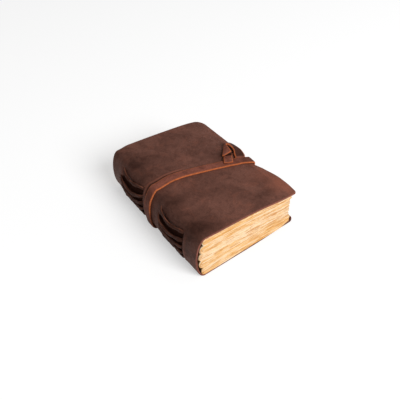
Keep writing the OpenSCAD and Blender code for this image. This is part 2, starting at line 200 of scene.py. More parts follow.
class Journal:
    """Shapes of the closed journal in metres: X spine to fore edge, Y tail to head, Z up."""

    def __init__(self, scene):
        for group in (scene.journal_cover, scene.journal_leaves, scene.journal_lacing,
                      scene.journal_strap):
            for name in group.bl_rna.properties.keys():
                if name not in ("rna_type", "name", "brown", "raw"):
                    setattr(self, name, getattr(group, name))
        self.half_w = (self.lace_arch + self.lace_t + FIT + self.leather_t + self.spine_gap
                       + self.page_w + self.back_over) / 2
        self.spine_x = self.lace_arch + self.lace_t + FIT - self.half_w
        self.fold_x = self.spine_x + self.leather_t + self.spine_gap
        self.page_x = self.fold_x + self.page_w
        self.front_x = self.page_x + self.front_over
        self.back_x = self.page_x + self.back_over
        self.heel_x = self.spine_x + self.heel_r
        self.shoulder_x = self.spine_x + self.shoulder_r
        self.lip_x = self.back_x - self.lip_r * math.sin(LIP_ANGLE)
        self.turn_x = self.spine_x + 45 * MM
        self.groove = self.strap_t + FIT
        self.groove_in = self.strap_w / 2 + 1.2 * MM
        self.groove_out = self.groove_in + 11 * MM
        self.stack_h = self.spine_h - 2 * self.leather_t - 2 * FIT
        self.holes = [self.head_hole, self.head_hole - self.run_len,
                      -self.tail_hole, -self.tail_hole - self.run_len]

    def strap_at(self, x):
        """Middle line of the strap on both covers; it turns gently beside the shoulder."""
        soft = 14 * MM
        e = np.clip(x - self.turn_x, -soft, soft)
        run = (e + soft) ** 2 / (4 * soft) + np.maximum(x - self.turn_x - soft, 0)
        return self.strap_y - self.slant * run

    def under_strap(self, x, y):
        """1 beside and under the strap, where the cover is drawn in, and 0 away from it."""
        away = np.abs(y - self.strap_at(x))
        return np.clip((self.groove_out - away) / (self.groove_out - self.groove_in), 0, 1)

    def front_edge(self, y):
        """Place of the front cover's fore edge; the strap pinches it."""
        pinch = 1.2 * MM * self.under_strap(self.front_x, y)
        return self.front_x + self.tail_flare * ease((-y - 8 * MM) / (55 * MM)) - pinch

    def sag(self, y):
        away = np.abs(y - self.strap_at(self.front_x)) - self.groove_in
        rest = np.where(y > 0, self.strap_pull * 0.7, -1.2 * MM)
        return mix(self.strap_pull, rest, ease(away / (45 * MM)))

    def front_z(self, x, y):
        """Height of the front cover; it dips at the fore edge and droops at the tail corner."""
        t = np.clip((x - self.shoulder_x) / (self.front_x - self.shoulder_x), 0, 1)
        s = np.clip((x - self.front_x + 32 * MM) / (32 * MM), 0, 1)
        return (mix(self.spine_h, self.fore_h, t) + self.crown * np.sin(np.pi * t)
                - self.sag(y) * s * s - self.under_strap(x, y) * 0.6 * MM * t
                - 1.9 * MM * ease((t - 0.45) / 0.45) * ease((-y - 76 * MM) / (16 * MM)))

    def back_z(self, x, y):
        return self.groove * self.under_strap(x, y)

    def lip_draw(self, y):
        return self.groove * self.under_strap(self.back_x, y)

    def station_x(self, part, t):
        """Place along X at share t of a part of the cover's section."""
        return np.choose(part, [
            self.lip_x + self.lip_r * np.sin(LIP_ANGLE * (1 - t)),
            mix(self.lip_x, self.heel_x, t),
            self.heel_x - self.heel_r * np.sin(np.pi / 2 * t),
            self.shoulder_x - self.shoulder_r * np.cos(np.pi / 2 * t),
            mix(self.shoulder_x, self.front_x, t)])

    def press(self, part, t, x, y):
        """Depth by which the strap presses the spine and its shoulder in."""
        deep = np.choose(part, [0 * t, 0 * t, PRESS[0] * ease(2 * t - 1),
                                np.interp(t, PRESS_AT, PRESS), self.front_press(x)])
        return deep * self.pressed(x, y)

    def front_press(self, x):
        return PRESS[-1] * (1 - ease((x - self.shoulder_x) / PRESS_RUN))

    def pressed(self, x, y):
        """1 under the strap; it fades fast towards the head and slowly towards the tail."""
        away = y - self.strap_at(x)
        reach = np.where(away < 0, 24 * MM, 13 * MM)
        return ease((self.groove_in + reach - np.abs(away)) / reach)

    def waist(self, x, y):
        """Depth by which the spine narrows at the head."""
        return (2.3 * MM * ease((y - 66 * MM) / (22 * MM))
                * ease((28 * MM + self.spine_x - x) / (16 * MM)))

    def skin(self, part, t, y, d):
        """Points at a distance d outside the cover's outer face."""
        part, t, y, d = np.broadcast_arrays(part, t, y, d)
        x = self.station_x(part, t)
        d = d - self.press(part, t, x, y) - self.waist(x, y)
        lift, draw = self.back_z(x, y), self.lip_draw(y)
        turn, bend = LIP_ANGLE * (1 - t), np.pi / 2 * t
        top = self.spine_h - self.bulge_h
        px = np.choose(part, [
            self.lip_x - draw + (self.lip_r + d) * np.sin(turn),
            x - draw * (1 - t),
            self.heel_x - (self.heel_r + d) * np.sin(bend),
            self.shoulder_x - (self.shoulder_r + d) * np.cos(bend),
            x + (self.front_edge(y) - self.front_x) * t])
        pz = np.choose(part, [
            self.lip_r - (self.lip_r + d) * np.cos(turn) + lift,
            lift - d,
            self.bulge_h - (self.bulge_h + d) * np.cos(bend) + lift * (1 - t) ** 2,
            self.bulge_h + (top + d) * np.sin(bend),
            self.front_z(x, y) + d])
        return np.stack([px, y, pz], -1)

    def spine_point(self, z, y, d):
        """Points over the outer face of the spine at height z."""
        part = np.where(z < self.bulge_h, HEEL, SHOULDER)
        heel = np.arccos(np.clip(1 - z / self.bulge_h, -1, 1))
        shoulder = np.arcsin(np.clip((z - self.bulge_h) / (self.spine_h - self.bulge_h), 0, 1))
        return self.skin(part, np.where(part == HEEL, heel, shoulder) * 2 / np.pi, y, d)

    def inner_x(self, z):
        """Inside of the spine at height z."""
        if z < self.bulge_h:
            rise = (self.bulge_h - z) / (self.bulge_h - self.leather_t)
            return self.heel_x - (self.heel_r - self.leather_t) * math.sqrt(1 - rise ** 2)
        rise = (z - self.bulge_h) / (self.spine_h - self.bulge_h - self.leather_t)
        return self.shoulder_x - (self.shoulder_r - self.leather_t) * math.sqrt(1 - rise ** 2)

    def fold_z(self, g):
        return self.leather_t + FIT + self.stack_h * (g + 0.5) / GATHERINGS

    def fold_tip(self, g):
        return self.inner_x(self.fold_z(g)) + self.spine_gap

    def lace_way(self, g):
        """Tip of the fold, direction out of the spine, and how far the spine's outer face is."""
        z = self.fold_z(g)
        low = z < self.bulge_h
        a, b = self.shoulder_r, self.spine_h - self.bulge_h
        if low:
            a, b = self.heel_r, self.bulge_h
        s = (z - self.bulge_h) / b
        tilt = math.atan2(s / b, math.sqrt(1 - s * s) / a)
        px = (self.heel_x if low else self.shoulder_x) - self.fold_tip(g)
        qa = (math.cos(tilt) / a) ** 2 + (math.sin(tilt) / b) ** 2
        qb = 2 * (px * math.cos(tilt) / a ** 2 + (z - self.bulge_h) * math.sin(tilt) / b ** 2)
        qc = (px / a) ** 2 + s ** 2 - 1
        reach = (math.sqrt(qb * qb - 4 * qa * qc) - qb) / (2 * qa)
        return Vector((self.fold_tip(g), 0, z)), Vector((-math.cos(tilt), 0, math.sin(tilt))), reach

    def leaf_z(self, x, y, s):
        low = self.back_z(x, y) + self.leather_t + FIT
        deep = self.front_press(x) + 0.8 * MM * ease((self.shoulder_x - x) / (3 * MM))
        top = self.front_z(x, y) - self.leather_t - FIT - deep * self.pressed(x, y)
        return mix(low, top, s)

    def leaf_half(self, s):
        """Half length of the leaves at share s of the stack; the lowest ones slip out furthest."""
        return self.page_len / 2 + self.leaf_spread * (1 - s) ** 3 - 0.4 * MM

    def leaf_fore(self, s, y):
        """Fore edge of the leaves: hollow in the middle, drawn in under the strap."""
        bow = (2 * s - 1) ** 2 * np.where(s < 0.5, 1.5, 0.95) - 0.6
        low = np.clip(1 - 5 * s, 0, 1)
        return self.page_x + self.fore_hollow * bow - (self.lip_draw(y) + FIT) * low


# Meshes

def lay_grid(rows, columns, start=0, flip=False):
    """Four-sided faces of a grid of points."""
    i, j = np.meshgrid(np.arange(rows - 1), np.arange(columns - 1), indexing="ij")
    a = start + i * columns + j
    faces = np.stack([a, a + 1, a + columns + 1, a + columns], -1).reshape(-1, 4)
    return faces[:, ::-1] if flip else faces


def rim_of(rows, columns):
    """Rows and columns of the points round the edge of a grid."""
    loop = [(0, j) for j in range(columns)] + [(i, columns - 1) for i in range(1, rows)]
    loop += [(rows - 1, j) for j in range(columns - 2, -1, -1)]
    return np.array(loop + [(i, 0) for i in range(rows - 2, 0, -1)])


def belt(loops):
    """Faces between loops of point numbers, one row of numbers for each loop."""
    turned = np.roll(loops, -1, axis=1)
    return np.stack([loops[:-1], loops[1:], turned[1:], turned[:-1]], -1).reshape(-1, 4)


def add_object(name, data):
    """A new object in the scene."""
    obj = bpy.data.objects.new(name, data)
    bpy.context.scene.collection.objects.link(obj)
    return obj


def new_piece(name, points, groups, material, stands_for, marks):
    """A smooth piece, clear of the table, that stands for a node of the frame. Each group holds
    faces with the same number of corners; marks are values at the points."""
    points[:, 2] = np.maximum(points[:, 2], 0)
    mesh = bpy.data.meshes.new(name)
    mesh.from_pydata(points.tolist(), [], [face for group in groups for face in group.tolist()])
    for mark, values in marks.items():
        mesh.attributes.new(mark, "FLOAT", "POINT").data.foreach_set(
            "value", np.asarray(values, np.float32).ravel())
    mesh.polygons.foreach_set("use_smooth", np.ones(len(mesh.polygons), bool))
    mesh.update()
    piece = add_object(name, mesh)
    mesh.materials.append(material)
    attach(piece, "root")
    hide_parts(stands_for)
    return piece


# Cover

LACED_Z = (6 * MM, 51 * MM)
# Distances of the cover's grid lines from its edges, in millimetres, and the widths of the
# front cover and of the lip that they are laid out on
CLOSE = np.array([0, 0.08, 0.25, 0.55, 1.0, 1.6])
NEARING = (12, 10.2, 8.6, 7.2, 6, 4.9, 3.9, 3, 2.2)
FRONT_RUN, LIP_RUN = 130.8, 8.5
# Places on the front cover, in millimetres across and along, with reach, share and stretch
WORN_CORNER = (68, -72, 11, 0.95)
RUBBED_SIDE = (60, -44, 15, 0.5, 1.2)
DARK_PLACES = ((37, -76, 9, 0.5), (36, 11, 11, 0.6), (-56, -74, 11, 0.8), (-50, 52, 17, 0.7),
               (-48, 22, 10, 0.45), (-8, -22, 14, 0.2), (-52, -28, 12, 0.5), (-40, -86, 10, 0.5))


def even(part, lines):
    """Even shares of a part of the section, without its end."""
    return [(part, t) for t in np.linspace(0, 1, lines)[:-1]]


def stations(lines):
    return np.array([part for part, _ in lines]), np.array([t for _, t in lines])


def cover_stations():
    """Part of the section and share of it for each line of the cover's grid."""
    lines = [(LIP, t) for t in np.append(CLOSE / LIP_RUN, [0.3, 0.42, 0.56, 0.7, 0.85])]
    lines += even(BACK, 44) + even(HEEL, 30) + even(SHOULDER, 30)
    front = np.concatenate([np.linspace(0, FRONT_RUN - 14, 64),
                            FRONT_RUN - np.array([*NEARING, *CLOSE[::-1]])])
    return stations(lines + [(FRONT, t) for t in front / FRONT_RUN])


def corner_cut(x, edge, r):
    e = np.clip(x - edge + r, 0, r)
    return r - np.sqrt(np.maximum(0, r * r - e * e))


def cover_halves(j, part, t):
    """Half lengths of the cover at its tail and at its head."""
    x = j.station_x(part, t)
    edge = np.where(part < HEEL, j.back_x, j.front_x)
    halves = []
    for r, lip, front in ((j.tail_corner_r, 0.1 * MM, 0.6 * MM), (j.head_corner_r, -0.6 * MM, 0)):
        spread = np.choose(part, [lip + 0 * t, mix(lip, j.heel_spread, ease(t / 0.45)),
                                  j.heel_spread * (1 - t), 0 * t, front * ease(2 * t - 1)])
        halves.append(j.cover_len / 2 + spread - corner_cut(x, edge, r))
    return halves


def laced(j, y, z):
    """1 on the spine under the laces, and 0 elsewhere; it sinks where they slump."""
    dent = 0 * y
    for high, low in (j.holes[:2], j.holes[2:]):
        share = np.clip((y - low) / (high - low), 0, 1)
        top = LACED_Z[1] - 4.5 * MM * np.sin(np.pi * share) - 9 * MM * ease((share - 0.75) / 0.2)
        dent = dent + (band(y, low + 1.5 * MM, high - 3 * MM, 2.5 * MM)
                       * band(z, LACED_Z[0], top, 3 * MM))
    return dent


def spot(x, y, across, along, reach, share, stretch=1.5):
    """A soft patch on the front cover, lighter for wear or darker at the listed dark places."""
    return share * bell(np.hypot((x - across * MM) / stretch, y - along * MM), reach * MM)


def build_cover(j, material):
    """One sheet of leather with a grid of points on each face."""
    part, t = cover_stations()
    tail, head = cover_halves(j, part, t)
    n = len(part)
    close = CLOSE * MM
    middle = np.linspace(0, 1, 152)[1:-1]
    rows = len(middle) + 2 * len(close)
    low, high = -tail[:, None], head[:, None]
    y = np.concatenate([low + close, mix(low + close[-1], high - close[-1], middle),
                        high - close[::-1]], axis=1)
    part, t = part[:, None] + 0 * y.astype(int), t[:, None] + 0 * y
    flat = j.skin(part, t, y, 0 * y)
    x, z = flat[..., 0], flat[..., 2]
    run = np.linalg.norm(np.diff(flat[:, rows // 2], axis=0), axis=1)
    run = np.concatenate([[0], np.cumsum(run)])
    to_end = np.minimum(run, run[-1] - run)
    to_head, to_tail = (away / np.sqrt(1 + np.gradient(half, run) ** 2)[:, None]
                        for away, half in ((high - y, head), (y - low, tail)))
    edge = np.maximum(np.minimum(np.minimum(to_head, to_tail), to_end[:, None]), 0)
    round_r = 0.9 * MM
    full = (1 - (1 - np.clip(edge / round_r, 0, 1)) ** 2.6) ** (1 / 2.6)
    spine = (part == HEEL) | (part == SHOULDER)
    # dent sinks the leather under the laces, and it also masks painted shade there: near-black
    # colour in the recess.
    dent = laced(j, y, z) * spine
    beside = y - j.strap_at(x) - j.groove_in
    on_front = (part == FRONT) * 1.0
    crease = on_front * band(x, -58 * MM, -24 * MM, 12 * MM) + (part == SHOULDER) * ease(
        (z - 40 * MM) / (10 * MM))
    ridge = bell(beside - 3.4 * MM, 1.5 * MM) * crease
    # Painted shade: fold darkens the narrow groove beside the strap's far edge.
    fold = bell(beside - 1 * MM, 0.9 * MM) * crease
    pucker = bell(y - j.holes[3] + 3.5 * MM, 1.8 * MM) + bell(y - j.holes[0] + 4 * MM, 3 * MM)
    pucker = pucker * spine * band(z, 12 * MM, 50 * MM, 6 * MM)
    uneven = (drift(x / (34 * MM), y / (34 * MM), z / (34 * MM), 3)
              + 0.5 * drift(x / (13 * MM), y / (13 * MM), z / (13 * MM), 4))
    calm = 1 - j.under_strap(x, y)
    d = (-1.9 * MM * dent + 1 * MM * ridge + 0.7 * MM * pucker
         + 0.22 * MM * uneven * calm * (part != BACK))
    half = j.leather_t / 2
    outer = j.skin(part, t, y, d - half + half * full)
    inner = j.skin(part, t, y, d * 0.8 - half - half * full)
    points = np.concatenate([outer.reshape(-1, 3), inner.reshape(-1, 3)])
    size = n * rows
    loop = rim_of(n, rows)
    loop = loop[:, 0] * rows + loop[:, 1]
    faces = np.concatenate([lay_grid(n, rows), lay_grid(n, rows, size, True),
                            belt(np.stack([loop, loop + size]))])
    fore = band(x, j.front_x - 6 * MM, j.front_x, 4 * MM) * (0.5 - 0.35 * ease(y / (30 * MM)))
    worn = on_front * (fore + spot(x, y, *WORN_CORNER) + spot(x, y, *RUBBED_SIDE))
    worn += 0.95 * ridge + 0.6 * pucker + 0.35 * bell(edge, 1.5 * MM)
    # Painted shade: roll darkens the whole spine and the front beside the shoulder.
    roll = spine + on_front * bell(x - j.shoulder_x, 9 * MM)
    # Darker patches at the listed dark places on the shoulder and front.
    dark_patches = sum(spot(x, y, *place) for place in DARK_PLACES) * (part >= SHOULDER)
    # shade sums the painted shade of roll and fold with the darker listed patches.
    shade = np.clip(0.45 * roll + 0.9 * fold + dark_patches, 0, 1)
    # Painted shade: along the lip and most of the back cover the cut edge shows the face colour
    # instead of the raw tan, where it lies in shade under the leaves.
    bare = np.choose(part, [0 * t, ease((t - 0.7) / 0.2), 1 + 0 * t, 1 + 0 * t, 1 + 0 * t])
    cut = np.clip(1.15 - edge / (0.75 * MM), 0, 1) * bare
    # The mark of the dent under the laces darkens the colour there as painted shade.
    marks = {name: np.tile(values.ravel(), 2) for name, values in (
        ("worn", worn), ("shade", shade), ("cut", cut), ("recess", dent))}
    marks["flesh"] = np.repeat([0, 1], size)
    return new_piece("leather_cover", points, [faces], material, "cover", marks)


# Gatherings

# Size and share of the tears along an edge
TEARS = ((14 * MM, 0.5), (4 * MM, 0.35), (1.6 * MM, 0.25))
SPLAY = (2.3, 1.8, 1.2, 0.8, 0.5)  # millimetres that each fold spreads at its ends
SIDE_NUMBERS = 20  # numbers kept for the sheets on one side of a gathering


def tear(along, leaf, steps, ends, seed):
    """Depth of a torn edge, from coarse to fine."""
    return sum(share * drift(along / cell, leaf * step, end, seed + k)
               for k, ((cell, share), step, end) in enumerate(zip(TEARS, steps, ends)))


def build_gathering(j, g, material):
    """One folded slab of nested sheets with torn edges."""
    n = j.sheets
    per_leaf, fold_steps, lengthwise = 52, 11, 84
    share = np.linspace(0, 1, per_leaf)
    bend = np.linspace(-np.pi / 2, np.pi / 2, fold_steps + 2)[1:-1]
    out = np.concatenate([share[::-1], np.zeros(fold_steps), share])
    turn = np.concatenate([np.full(per_leaf, -np.pi / 2), bend, np.full(per_leaf, np.pi / 2)])
    across = -np.cos(np.linspace(0, np.pi, lengthwise))
    across = mix(across, np.linspace(-1, 1, lengthwise), 0.7)
    depth, sheet, level = [], [], []
    for k in range(n):
        for at, kind in ((0.0, 1), (0.4, 0), (0.8, 1), (0.92, 2)):
            if k < n - 1 or kind != 2:
                depth.append((k + at) / n)
                sheet.append(k)
                level.append(kind)
    depth, sheet, level = (np.array(a) for a in (depth, sheet, level))
    depth = depth / depth[-1] * 0.985

    def place(row, i, k):
        q, leaf = depth[row], sheet[row]
        fi, v, kind = out[i], across[k], level[row]
        upper = np.where(turn[i] > 0, 1.0, -1.0)
        ident = SIDE_NUMBERS * (2 * g + (upper > 0)) + leaf
        centre = j.fold_tip(g) + j.fold_round
        x = np.where(fi > 0, mix(centre, j.page_x, fi),
                     centre - j.fold_round * (1 - q) * np.cos(turn[i]))
        s = (g + 0.5 + 0.5 * (1 - q) * np.sin(turn[i])) / GATHERINGS
        ends = np.sign(v)
        groove = np.choose(kind, [0, 0.14, 1.0]) * MM
        sway = drift(x / (9 * MM), ident * 1.7, ends, 11)
        ragged = tear(x, ident, (3.1, 5.3, 7.9), (ends * 2, ends * 3, ends * 4), 12)
        layer = g * 2 * n + (upper * (1 - q) + 1) * n
        step = (0.4 * lattice(ident, 3, ends, 21)
                + 0.9 * drift(layer / 3.2, x / (42 * MM), ends * 3, 23))
        low = np.clip(1 - 5 * s, 0, 1)
        tucked = ease((x - j.page_x + 16 * MM) / (14 * MM)) * low
        rough = j.deckle * (0.3 + 0.7 * np.clip(9 * s, 0, 1))
        half = (j.leaf_half(s) + rough * (ragged + step) - groove * (1 + 0.5 * sway)
                - 2.2 * MM * tucked)
        y = v * np.minimum(half, j.cover_len / 2 + 1.8 * MM)
        near_end = ease((np.abs(y) - 74 * MM) / (12 * MM))
        torn = (tear(y, ident, (2.3, 4.7, 6.1), (0.5, 0.5, 0.5), 31)
                + 0.5 * lattice(ident, 5, 0, 22) + 1.1 * drift(layer / 3.2, y / (42 * MM), 7, 24))
        fore = (j.leaf_fore(s, y) + j.deckle * torn - 2 * MM * low * near_end
                - groove * (1 + 0.5 * drift(y / (9 * MM), ident * 1.3, 0.5, 34)))
        x = np.where(fi > 0, mix(centre, fore, fi), x)
        x = x - SPLAY[g] * MM * near_end * (1 - fi) ** 12
        free = np.clip(q * 8, 0, 1) * np.clip((1 - q) * 8, 0, 1)
        cockle = (0.7 * drift(x / (28 * MM), y / (28 * MM), q * 5 + g * 9 + upper, 41)
                  + 0.35 * drift(x / (9 * MM), y / (9 * MM), q * 9 + g * 9 + upper, 42)) / n
        q2 = q + cockle * free * 0.9
        s = (g + 0.5 + 0.49 * (1 - q2) * np.sin(turn[i])) / GATHERINGS
        return np.stack([x, y, j.leaf_z(x, y, s)], -1), kind, ident

    wide, deep = len(out), len(depth)
    i, k = (a.ravel() for a in np.meshgrid(np.arange(wide), np.arange(lengthwise), indexing="ij"))
    loop = rim_of(wide, lengthwise)
    row = np.repeat(np.arange(1, deep - 1), len(loop))
    rows = np.concatenate([np.zeros(len(i), int), np.full(len(i), deep - 1), row])
    ii = np.concatenate([i, i, np.tile(loop[:, 0], deep - 2)])
    kk = np.concatenate([k, k, np.tile(loop[:, 1], deep - 2)])
    points, kind, ident = place(rows, ii, kk)
    size = wide * lengthwise
    edge = loop[:, 0] * lengthwise + loop[:, 1]
    loops = np.concatenate([[edge], 2 * size + np.arange(len(row)).reshape(deep - 2, -1),
                            [edge + size]])
    faces = np.concatenate([lay_grid(wide, lengthwise), lay_grid(wide, lengthwise, size, True),
                            belt(loops)])
    leaf = (g + 0.5 + 0.5 * (1 - depth[rows]) * np.where(turn[ii] > 0, 1, -1)) / GATHERINGS
    # Painted shade: marks the outer faces of the folds, deep in the gap towards the spine, to be
    # coloured near-black.
    behind = (out[ii] == 0) * (depth[rows] < 0.5 / n) * (rows == 0) * (np.abs(across[kk]) < 0.995)
    # between marks the deep grooves between sheets, which the paper colours amber as painted shade.
    return new_piece("leaves_%d" % (g + 1), points, [faces], material,
                     "signature_%d" % (g + 1), {"between": kind == 2, "behind": behind,
                                                "tone": lattice(ident, 1, 2, 51), "leaf": leaf})


# Laces and strap

# For each lace in millimetres: how far its outside runs slump, bow out and stand off the leather
SLUMP, BOW, STAND = (3, 6, 8.5, 8, 6), (0, 0.2, 0.6, 1.2, 1.6), (-0.3, -0.1, 0, 0.2, 0.2)
def sweep(centre, side, normal, width, thick, corners=14, power=3.2, closed=False):
    """Points and faces of a soft-edged strip along a line; side and normal are unit vectors."""
    angle = np.linspace(0, 2 * np.pi, corners, endpoint=False) + np.pi / corners
    c, s = np.cos(angle), np.sin(angle)
    across = np.sign(c) * np.abs(c) ** (2 / power)
    up = np.sign(s) * np.abs(s) ** (2 / power)
    width, thick = (np.broadcast_to(a, len(centre)) for a in (width, thick))
    points = (centre[:, None] + side[:, None] * (across[None, :, None] * width[:, None, None] / 2)
              + normal[:, None] * (up[None, :, None] * thick[:, None, None] / 2))
    ring = np.arange(len(centre) * corners).reshape(-1, corners)
    if closed:
        ring = np.concatenate([ring, ring[:1]])
    faces = belt(ring)
    cut = np.broadcast_to(np.clip((np.abs(across) - 0.8) / 0.1, 0, 1), (len(centre), corners))
    return points.reshape(-1, 3), faces, cut.ravel(), ring


def cap(ring, points):
    """Closes the two ends of a swept strip with fans round a middle point."""
    faces, extra = [], []
    for k, loop in enumerate((ring[0], ring[-1])):
        extra.append(points[loop].mean(0))
        middle = len(points) + k
        for a, b in zip(loop, np.roll(loop, -1)):
            faces.append([a, b, middle] if k == 0 else [b, a, middle])
    return np.array(faces), np.array(extra)


def smooth_line(points, steps):
    """Evenly rounded line through points (Catmull-Rom), steps to each stretch."""
    p = np.asarray(points, float)
    p = np.concatenate([[2 * p[0] - p[1]], p, [2 * p[-1] - p[-2]]])
    u = np.arange(steps)[:, None] / steps
    line = [0.5 * (2 * b + (c - a) * u + (2 * a - 5 * b + 4 * c - d) * u ** 2
                   + (3 * b - a - 3 * c + d) * u ** 3)
            for a, b, c, d in zip(p[:-3], p[1:-2], p[2:-1], p[3:])]
    return np.concatenate(line + [p[-2:-1]])


def unit(v):
    """Vectors brought to a length of 1."""
    return v / np.maximum(np.linalg.norm(v, axis=-1, keepdims=True), 1e-12)


def build_lace(j, g, material):
    """Two slumping outside runs, the run inside the fold, and both ends tucked in the fold."""
    tip, outward, reach = j.lace_way(g)
    tip, out, along = np.array(tip), np.array(outward), np.array([0, 1, 0])
    across = np.array([outward[2], 0, -outward[0]])
    inside, h0, h1, h2, h3 = -j.lace_depth, *j.holes

    def within(depth, y):
        return tip + out * depth + along * y

    line = [within(inside, h0 - 7 * MM), within(inside, h0 - 3 * MM)]
    for number, (a, b) in enumerate(((h0, h1), (h2, h3))):
        start = a - (6 * MM if number == 0 else 4 * MM) * (g == 4)
        sink = SLUMP[g] * MM * (1 + 0.2 * lattice(g, number, 1, 62))
        early = 0.82 + 0.1 * lattice(g, number, 2, 63)
        line += [within(inside + 1 * MM, start), within(reach - 3 * MM, start)]
        for f in (0.02, 0.09, 0.2, 0.32, 0.45, 0.58, 0.7, 0.81, 0.91, 0.98):
            y = mix(start, b, f)
            fall = math.sin(math.pi * f ** early)
            z = j.fold_z(g) - sink * fall + 0.6 * MM * drift(y / (7 * MM), g * 3.1, 0, 66)
            end = 1.6 * MM * (abs(2 * f - 1) > 0.9)
            off = FIT + STAND[g] * MM + BOW[g] * MM * fall ** 0.7 - end
            line.append(j.spine_point(z, y, off))
        line += [within(reach - 3 * MM, b), within(inside + 1 * MM, b)]
        if number == 0:
            line += [within(inside, b - 4 * MM), within(inside, 0), within(inside, h2 + 4 * MM)]
    line += [within(inside, h3 + 3 * MM), within(inside, h3 + 7 * MM)]
    centre = smooth_line([np.ravel(p) for p in line], 5)
    tangent = unit(np.gradient(centre, axis=0))
    twist = 0.55 * drift(centre[:, 1] / (8 * MM), g * 2.7, 0, 64)[:, None]
    side = unit(across - tangent * (tangent @ across)[:, None])
    normal = np.cross(tangent, side)
    side, normal = (side * np.cos(twist) + normal * np.sin(twist),
                    normal * np.cos(twist) - side * np.sin(twist))
    width = j.lace_w * (1.05 + 0.25 * drift(centre[:, 1] / (6 * MM), g * 1.9, 0, 65))
    thick = j.lace_t * (1.1 + 0.2 * drift(centre[:, 1] / (4 * MM), g * 2.3, 0, 67))
    points, faces, cut, ring = sweep(centre, side, normal, width, thick)
    cut = cut * (0.5 + 0.5 * drift(points[:, 1] / (5 * MM), points[:, 2] / (3 * MM), g, 68))
    fans, extra = cap(ring, points)
    points = np.concatenate([points, extra])
    return new_piece("lace_thong_%d" % (g + 1), points, [faces, fans], material,
                     "lace_%d" % (g + 1), {"cut": np.append(cut, [1, 1]),
                                           "shade": np.zeros(len(points))})


def strap_ring(j):
    """The turn round the journal: centre, side and normal of the strap."""
    part, t = stations(even(LIP, 10) + even(BACK, 50) + even(HEEL, 26) + even(SHOULDER, 26)
                       + even(FRONT, 90) + [(FRONT, 1)])
    x = j.station_x(part, t)
    ride = np.where(part == FRONT, ease((x - j.front_x + 24.5 * MM) / (9 * MM)), 0)

    def edge_line(side):
        y = j.strap_at(x) + side * j.strap_w / 2
        climb = (j.strap_t - 0.1 * MM) * (0.65 + 0.35 * side)
        main = j.skin(part, t, y, FIT + j.strap_t / 2 + ride * climb)
        main[:, 0] -= 1.6 * MM * (part == HEEL) * np.sin(np.pi * np.clip(t / 0.6, 0, 1))
        main[:, 1] -= 2 * MM * np.choose(part, [0 * t, ease(t), ease(1 - t), 0 * t, 0 * t])
        y0 = j.strap_at(j.front_x) + side * j.strap_w / 2
        turn = np.radians([72, 54, 36, 18, 0])
        over = FIT + j.strap_t / 2 + np.clip(turn / np.radians(75) - 0.2, 0, 1) * climb
        edge = j.front_edge(y0)
        curl = np.stack([edge + over * np.cos(turn), y0 + 0 * turn,
                         j.front_z(j.front_x, y0) + over * np.sin(turn)], -1)
        foot = main[0]
        drop = curl[-1] + np.array([0, 0, -j.leather_t])
        share = np.linspace(0, 1, 14)[:-1, None]
        bow = np.sin(np.pi * share) * np.array([0.5 * MM, 0, 0])
        return np.concatenate([main, curl, mix(drop, foot, share) + bow])

    near, far = edge_line(-1), edge_line(1)
    centre = (near + far) / 2
    side = unit(far - near)
    ahead = unit(np.roll(centre, -1, 0) - np.roll(centre, 1, 0))
    return centre, side, unit(np.cross(side, ahead))


SOFT = (20, 4.5)  # points round the strap, and squareness of its section
TIE_STEPS = 7


def build_strap(j, material):
    """The turn round the journal, the loop and the strap's end, in one piece."""
    centre, side, normal = strap_ring(j)
    wobble = 1 + 0.02 * drift(np.arange(len(centre)) / 9, 3.3, 0, 71)
    points, faces, cut, _ = sweep(centre, side, normal, j.strap_w * wobble, j.strap_t, *SOFT, True)
    # Painted shade: the strap's orange cut edge dims where it runs below about 34 mm, on the spine
    # and the back.
    low = 1 - 0.75 * ease((34 * MM - points[:, 2]) / (12 * MM))
    groups, marks, total = [faces], [cut * low], len(points)
    # Painted shade: the strap's face darkens wherever it runs lower than about 55 mm, over the
    # back, the spine and the front near the fore edge.
    shades = [0.6 * band(points[:, 2], 0, 55 * MM, 5 * MM)]
    all_points = [points]
    for number, (outer, inner) in enumerate((tie_loop(j), tie_tail(j))):
        a, b = smooth_line(outer, TIE_STEPS), smooth_line(inner, TIE_STEPS)
        centre = (a + b) / 2
        side = unit(b - a)
        ahead = unit(np.gradient(centre, axis=0))
        normal = unit(np.cross(ahead, side))
        normal *= np.sign(normal[:, 2:])
        centre = centre + normal * j.strap_t / 2
        points, faces, cut, ring = sweep(centre, side, normal, np.linalg.norm(b - a, axis=1),
                                         j.strap_t * 0.92, *SOFT)
        fans, extra = cap(ring, points)
        groups += [faces + total, fans + total]
        all_points += [points, extra]
        along = np.repeat(np.arange(len(centre)) / TIE_STEPS, SOFT[0])
        if number == 0:
            # Painted shade: the loop's outer face, sloping away from the light, is darkened.
            shade = band(along, 2, 6.3, 0.8)
        else:
            # Painted shadow: the strap's end darkens where it comes out from under the flap.
            shade = 1.6 * (1 - ease((along - 0.8) / 0.5))
        shades += [shade, [0, 0]]
        # The end's cut edge dims with that painted shadow.
        marks += [cut * (1 - 0.5 * np.clip(shade, 0, 1) * number), [1, 1]]
        total += len(points) + 2
    return new_piece("tied_strap", np.concatenate(all_points), groups, material,
                     "wrap_strap", {"cut": np.concatenate(marks), "shade": np.concatenate(shades)})


def on_cover(j, spots):
    """Points of the tied end, from the strap's place at the fore edge: [across, along] in strap
    widths, and layers of strap below."""
    p = np.array(spots)
    x, y = j.front_x + j.strap_w * p[:, 0], j.strap_at(j.front_x) + j.strap_w * p[:, 1]
    return np.stack([x, y, j.front_z(x, y) + FIT + (j.strap_t - 0.1 * MM) * p[:, 2]], -1)


